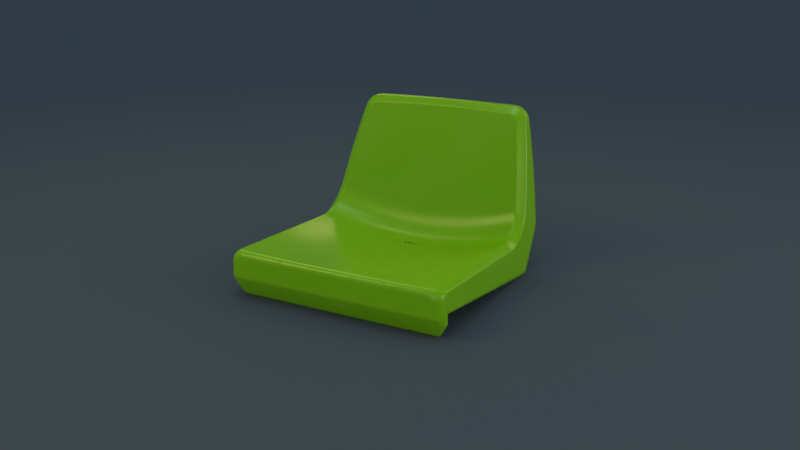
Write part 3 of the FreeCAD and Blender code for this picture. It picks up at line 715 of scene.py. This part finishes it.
def vectorSums(tree, operation, inputs):
    # one step of arithmetic on vectors
    return addNode(tree, "ShaderNodeVectorMath", {"operation": operation}, inputs).outputs


def blend(tree, share, one, two):
    # a colour between two, by its share
    return addNode(tree, "ShaderNodeMix", {"data_type": "RGBA"}, {0: share, 6: one, 7: two}).outputs[2]


def spread(tree, value, fromLow, fromHigh, toLow, toHigh):
    # a value moved from one range to another, and kept inside it
    ranges = dict(enumerate((value, fromLow, fromHigh, toLow, toHigh)))
    return addNode(tree, "ShaderNodeMapRange", {"clamp": True}, ranges).outputs[0]


def noise(tree, place, scale, detail):
    # smooth noise between 0 and 1
    inputs = {"Vector": place, "Scale": scale, "Detail": detail, "Roughness": 0.5}
    return addNode(tree, "ShaderNodeTexNoise", {}, inputs).outputs["Fac"]


white = (1.0, 1.0, 1.0, 1)
black = (0.0, 0.0, 0.0, 1)


def makePatches():
    # slow change over the surface: a colour that drifts to a tint, and the mask that it follows
    group, given, result = newGroup(
        "patches", {"Place": [0], "Size": 0.05, "Amount": 0.3, "Colour": white, "Tint": white},
        {"Colour": white, "Mask": 0.0})
    scale = sums(group, "DIVIDE", 1.0, given.outputs["Size"])
    # most of the noise lies in this part of its range
    mask = spread(group, noise(group, given.outputs["Place"], scale, 3.0), 0.35, 0.65, 0.0, 1.0)
    share = sums(group, "MULTIPLY", mask, given.outputs["Amount"])
    colour = blend(group, share, given.outputs["Colour"], given.outputs["Tint"])
    group.links.new(colour, result.inputs["Colour"])
    group.links.new(mask, result.inputs["Mask"])
    return group


# The grain's cells, and how many times finer the noise over them is.
grainCells = {"smoothness": 0.6, "finerScale": 2.3}


def makeGrain():
    # fine grain: small rounded cells with still finer noise over them, as a height
    group, given, result = newGroup("grain", {"Place": [0], "Size": 0.001, "Finer": 0.4}, {"Height": 0.0})
    place = given.outputs["Place"]
    scale = sums(group, "DIVIDE", 1.0, given.outputs["Size"])
    inputs = {"Vector": place, "Scale": scale, "Smoothness": grainCells["smoothness"]}
    cells = addNode(group, "ShaderNodeTexVoronoi", {"feature": "SMOOTH_F1"}, inputs).outputs["Distance"]
    fine = noise(group, place, sums(group, "MULTIPLY", scale, grainCells["finerScale"]), 2.0)
    height = sums(group, "ADD", cells, sums(group, "MULTIPLY", fine, given.outputs["Finer"]))
    group.links.new(height, result.inputs["Height"])
    return group


# Rubbed lines: their slant, their width as a part of the noise's range, and where they thin out.
scuffLines = {"axis": (0.3, -0.2, 0.9), "turn": 0.7, "width": 0.012, "none": 0.5, "all": 0.62}


def makeScuffs():
    # thin rubbed lines where a stretched noise crosses its middle value, thinned out by a second noise
    group, given, result = newGroup("scuffs", {"Place": [0], "Size": 0.02, "Stretch": 8.0, "Share": 0.5},
                                    {"Mask": 0.0})
    scale = sums(group, "DIVIDE", 1.0, given.outputs["Size"])
    way = group.nodes.new("ShaderNodeCombineXYZ")
    way.inputs["X"].default_value = 1.0
    group.links.new(given.outputs["Stretch"], way.inputs["Y"])
    group.links.new(given.outputs["Stretch"], way.inputs["Z"])
    turned = addNode(group, "ShaderNodeVectorRotate", {"rotation_type": "AXIS_ANGLE"},
                     {"Vector": given.outputs["Place"], "Axis": scuffLines["axis"],
                      "Angle": scuffLines["turn"]}).outputs["Vector"]
    drawn = vectorSums(group, "MULTIPLY", {0: turned, 1: way.outputs["Vector"]})["Vector"]
    off = sums(group, "ABSOLUTE", sums(group, "SUBTRACT", noise(group, drawn, scale, 1.0), 0.5))
    line = spread(group, off, 0.0, scuffLines["width"], 1.0, 0.0)
    some = spread(group, noise(group, given.outputs["Place"], scale, 2.0),
                  scuffLines["none"], scuffLines["all"], 0.0, 1.0)
    mask = sums(group, "MULTIPLY", sums(group, "MULTIPLY", line, some), given.outputs["Share"])
    group.links.new(mask, result.inputs["Mask"])
    return group


patches, grain, scuffs = makePatches(), makeGrain(), makeScuffs()


def useGroup(tree, group, place, **values):
    # one of the groups above, placed in a material with values of its own
    node = tree.nodes.new("ShaderNodeGroup")
    node.node_tree = group
    tree.links.new(place, node.inputs["Place"])
    for label, value in values.items():
        node.inputs[label].default_value = value
    return node.outputs


def newMaterial(name, metallic, specular=None):
    # a material with one shader, and the object coordinates that its patterns read
    material = bpy.data.materials.new(name)
    material.use_nodes = True
    tree = material.node_tree
    tree.nodes.clear()
    output = tree.nodes.new("ShaderNodeOutputMaterial")
    shader = tree.nodes.new("ShaderNodeBsdfPrincipled")
    tree.links.new(shader.outputs["BSDF"], output.inputs["Surface"])
    shader.inputs["Metallic"].default_value = metallic
    if specular is not None:
        shader.inputs["Specular IOR Level"].default_value = specular
    place = tree.nodes.new("ShaderNodeTexCoord").outputs["Object"]
    return material, tree, shader, place


def addBump(tree, shader, height, strength, depth):
    bump = addNode(tree, "ShaderNodeBump", {}, {"Strength": strength, "Distance": depth, "Height": height})
    tree.links.new(bump.outputs["Normal"], shader.inputs["Normal"])


# Green polypropylene: satin, with a fine spark-eroded grain, slow drifts of colour and a few rubbed lines.
plasticLook = {"colour": (0.09, 0.254, 0.001, 1), "tint": (0.102, 0.27, 0.001, 1), "specular": 0.25,
               "drift": 0.11, "driftShare": 0.35, "smooth": 0.22, "dull": 0.28,
               "grainSize": 0.0011, "finer": 0.4, "grainStrength": 0.04, "grainDepth": 0.0002,
               "scuffSize": 0.03, "stretch": 7.0, "scuffShare": 0.12, "scuffDull": 0.12}


def makePlastic(look):
    material, tree, shader, place = newMaterial("green_polypropylene", 0.0, look["specular"])
    drift = useGroup(tree, patches, place, Size=look["drift"], Amount=look["driftShare"],
                     Colour=look["colour"], Tint=look["tint"])
    tree.links.new(drift["Colour"], shader.inputs["Base Color"])
    rubbed = useGroup(tree, scuffs, place, Size=look["scuffSize"], Stretch=look["stretch"],
                      Share=look["scuffShare"])
    dull = spread(tree, drift["Mask"], 0.0, 1.0, look["smooth"], look["dull"])
    rough = sums(tree, "MULTIPLY_ADD", rubbed["Mask"], look["scuffDull"], dull)
    tree.links.new(rough, shader.inputs["Roughness"])
    spark = useGroup(tree, grain, place, Size=look["grainSize"], Finer=look["finer"])
    addBump(tree, shader, spark["Height"], look["grainStrength"], look["grainDepth"])
    return material


# Metals: main colour, tint, their drift, the roughness range, crystal or tool mark size and bump.
# Colours are linear, and lengths are in metres.
metalLooks = {
    "galvanised_steel": {"colour": (0.56, 0.58, 0.6, 1), "tint": (0.74, 0.75, 0.76, 1), "drift": 0.04,
                         "smooth": 0.34, "dull": 0.58, "spangle": 0.007, "grainSize": 0.002,
                         "scuffSize": 0.03, "strength": 0.25, "depth": 0.0002},
    "insert_brass": {"colour": (0.72, 0.52, 0.24, 1), "tint": (0.6, 0.4, 0.17, 1), "drift": 0.006,
                     "smooth": 0.26, "dull": 0.42, "turned": 0.0005, "grainSize": 0.0008,
                     "scuffSize": 0.01, "strength": 0.3, "depth": 0.0001},
    "zinc_plate": {"colour": (0.68, 0.7, 0.72, 1), "tint": (0.74, 0.72, 0.6, 1), "drift": 0.005,
                   "smooth": 0.22, "dull": 0.38, "turned": 0.0006, "grainSize": 0.0007,
                   "scuffSize": 0.008, "strength": 0.25, "depth": 0.00008},
    "spring_steel": {"colour": (0.4, 0.41, 0.43, 1), "tint": (0.3, 0.3, 0.32, 1), "drift": 0.004,
                     "smooth": 0.34, "dull": 0.5, "grainSize": 0.0006, "scuffSize": 0.008,
                     "strength": 0.3, "depth": 0.0001},
    "nut_steel": {"colour": (0.5, 0.52, 0.54, 1), "tint": (0.66, 0.67, 0.68, 1), "drift": 0.007,
                  "smooth": 0.4, "dull": 0.62, "spangle": 0.003, "grainSize": 0.001,
                  "scuffSize": 0.012, "strength": 0.35, "depth": 0.00015},
}

# What all metals share: rubbed lines are smoother and a little deeper, zinc crystals differ in shade
# and gloss, and turned parts have fine rings.
metalWear = {"driftShare": 0.6, "stretch": 10.0, "scuffShare": 0.8, "finer": 0.6, "scuffDull": -0.1,
             "scuffDepth": -0.6, "crystalDark": 0.72, "crystalShade": 0.6, "crystalGloss": 0.6,
             "ringDepth": 0.35}


def makeMetal(name, look):
    material, tree, shader, place = newMaterial(name, 1.0)
    wear = metalWear
    drift = useGroup(tree, patches, place, Size=look["drift"], Amount=wear["driftShare"],
                     Colour=look["colour"], Tint=look["tint"])
    rubbed = useGroup(tree, scuffs, place, Size=look["scuffSize"], Stretch=wear["stretch"],
                      Share=wear["scuffShare"])
    fine = useGroup(tree, grain, place, Size=look["grainSize"], Finer=wear["finer"])
    colour, level, height = drift["Colour"], drift["Mask"], fine["Height"]
    if "spangle" in look:
        # zinc crystals: each cell has its own shade and gloss
        cell = addNode(tree, "ShaderNodeTexVoronoi", {},
                       {"Vector": place, "Scale": 1 / look["spangle"], "Randomness": 1.0}).outputs["Color"]
        cell = addNode(tree, "ShaderNodeSeparateColor", {}, {"Color": cell}).outputs
        dark = tuple(part * wear["crystalDark"] for part in look["colour"][:3]) + (1,)
        shade = spread(tree, cell[0], 0.0, 1.0, 0.0, wear["crystalShade"])
        colour = blend(tree, shade, colour, dark)
        gloss = wear["crystalGloss"]
        level = sums(tree, "MULTIPLY", level, 1 - gloss)
        level = sums(tree, "MULTIPLY_ADD", cell[1], gloss, level)
    if "turned" in look:
        # tool marks: fine rings round the fastener's upright axis
        up = addNode(tree, "ShaderNodeSeparateXYZ", {}, {"Vector": place}).outputs["Z"]
        wave = sums(tree, "SINE", sums(tree, "MULTIPLY", up, 2 * math.pi / look["turned"]))
        height = sums(tree, "MULTIPLY_ADD", wave, wear["ringDepth"], height)
    rough = spread(tree, level, 0.0, 1.0, look["smooth"], look["dull"])
    tree.links.new(colour, shader.inputs["Base Color"])
    rough = sums(tree, "MULTIPLY_ADD", rubbed["Mask"], wear["scuffDull"], rough)
    tree.links.new(rough, shader.inputs["Roughness"])
    height = sums(tree, "MULTIPLY_ADD", rubbed["Mask"], wear["scuffDepth"], height)
    addBump(tree, shader, height, look["strength"], look["depth"])
    return material


# Which finish each carried-over solid has, by the start of its name.
finishOf = {"mounting_rail": "galvanised_steel", "threaded_insert": "insert_brass",
            "flat_washer": "zinc_plate", "rail_bolt": "zinc_plate", "spring_washer": "spring_steel",
            "weld_nut": "nut_steel"}


def finishPieces():
    plastic = makePlastic(plasticLook)
    metals = {name: makeMetal(name, look) for name, look in metalLooks.items()}
    for piece in (shell, ribs):
        piece.data.materials.append(plastic)
    for name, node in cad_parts.items():
        finish = next((metals[look] for start, look in finishOf.items() if name.startswith(start)), plastic)
        node.data.materials.clear()
        node.data.materials.append(finish)


finishPieces()
print("finishes made")


# The camera: place and view angles worked out from the seat's own edges, frame 800 by 450.
cameraSetup = {"place": (0.7792, -1.3602, 0.6170), "azimuth": 28.77, "elevation": 17.76,
               "lens": 39.19, "sensor": 36.0}


def makeCamera():
    data = bpy.data.cameras.new("camera")
    camera = bpy.data.objects.new("camera", data)
    bpy.context.scene.collection.objects.link(camera)
    data.lens = cameraSetup["lens"]
    data.sensor_width = cameraSetup["sensor"]
    data.sensor_fit = "HORIZONTAL"
    camera.location = cameraSetup["place"]
    camera.rotation_euler = (math.radians(90 - cameraSetup["elevation"]), 0.0,
                             math.radians(cameraSetup["azimuth"]))
    bpy.context.scene.camera = camera


makeCamera()


# Soft studio lamps, all aimed at the seat from one distance. The angle around is 0 before the nose and
# 90 on the +X side, and the angle up is from the ground. Sizes are in metres and powers in watts.
lampDistance = 3.0
lampTarget = np.array([0.0, 0.0, 0.12])
lamps = {
    "key": {"around": 311, "up": 42, "size": (0.9, 1.8), "power": 25.0, "tint": (1, 0.8, 0.3)},
    "backStrip": {"around": 230, "up": 48, "size": (0.3, 1.8), "power": 12.0, "tint": (1, 0.93, 0.4)},
    "backLow": {"around": 208, "up": 22, "size": (0.6, 0.6), "power": 1.8, "tint": (1, 0.8, 0.3)},
    "sideStrip": {"around": 63, "up": 25, "size": (0.7, 0.9), "power": 6.0, "tint": (1, 0.82, 0.35)},
    "front": {"around": 0, "up": 12, "size": (1.6, 1.6), "power": 12.0, "tint": (1, 1, 1)},
    "top": {"around": 0, "up": 89, "size": (1.6, 1.6), "power": 20.0, "tint": (1, 1, 1)},
    "backRight": {"around": 148, "up": 26, "size": (0.8, 1.4), "power": 9.0, "tint": (1, 0.72, 0.35)},
    "right": {"around": 98, "up": 18, "size": (1.6, 1.6), "power": 28.0, "tint": (1, 0.95, 0.7)},
}


def makeLamp(name, setup):
    around, up = math.radians(setup["around"]), math.radians(setup["up"])
    flat = math.cos(up)
    way = np.array([flat * math.sin(around), -flat * math.cos(around), math.sin(up)])
    data = bpy.data.lights.new(name, "AREA")
    data.shape = "ELLIPSE"
    data.size, data.size_y = setup["size"]
    data.energy = setup["power"]
    data.color = setup["tint"]
    lamp = bpy.data.objects.new(name, data)
    bpy.context.scene.collection.objects.link(lamp)
    lamp.location = lampTarget + way * lampDistance
    lamp.rotation_euler = (math.pi / 2 - up, 0.0, around)


for lampName, lampSetup in lamps.items():
    makeLamp(lampName, lampSetup)


# The floor and the world are a plain slate blue where they are seen, and send grey light to the seat.
# From the near to the far radius, in metres, the floor's lit colour passes into the world's own.
stageLook = {"floor": (0.035, 0.05, 0.07, 1), "bounce": (0.33, 0.33, 0.33, 1),
             "backdrop": (0.028, 0.043, 0.062, 1), "fill": (0.6, 0.6, 0.6, 1),
             "nearRadius": 0.9, "farRadius": 3.2, "reach": 40.0, "roughness": 0.9}


def seenRays(tree):
    # 1 for rays that show the background: straight, mirrored or passed through
    path = tree.nodes.new("ShaderNodeLightPath").outputs
    seen = sums(tree, "MAXIMUM", path["Is Camera Ray"], path["Is Glossy Ray"])
    return sums(tree, "MAXIMUM", seen, path["Is Transmission Ray"])


def makeFloor():
    reach = stageLook["reach"]
    mesh = bpy.data.meshes.new("floor")
    corners = [(-reach, -reach, 0), (reach, -reach, 0), (reach, reach, 0), (-reach, reach, 0)]
    mesh.from_pydata(corners, [], [(0, 1, 2, 3)])
    floor = bpy.data.objects.new("floor", mesh)
    bpy.context.scene.collection.objects.link(floor)
    material, tree, shader, place = newMaterial("plain_floor", 0.0, 0.0)
    shader.inputs["Roughness"].default_value = stageLook["roughness"]
    shader.inputs["Emission Strength"].default_value = 1.0
    away = vectorSums(tree, "LENGTH", {0: place})["Value"]
    far = spread(tree, away, stageLook["nearRadius"], stageLook["farRadius"], 0.0, 1.0)
    seen = seenRays(tree)
    lit = blend(tree, far, stageLook["floor"], black)
    tree.links.new(blend(tree, seen, stageLook["bounce"], lit), shader.inputs["Base Color"])
    glow = blend(tree, sums(tree, "MULTIPLY", seen, far), black, stageLook["backdrop"])
    tree.links.new(glow, shader.inputs["Emission Color"])
    mesh.materials.append(material)


def makeWorld():
    world = bpy.data.worlds.new("studio")
    world.use_nodes = True
    tree = world.node_tree
    sky = blend(tree, seenRays(tree), stageLook["fill"], stageLook["backdrop"])
    tree.links.new(sky, tree.nodes["Background"].inputs["Color"])
    bpy.context.scene.world = world


makeFloor()
makeWorld()
bpy.context.scene.view_settings.view_transform = "Standard"
print("stage made")
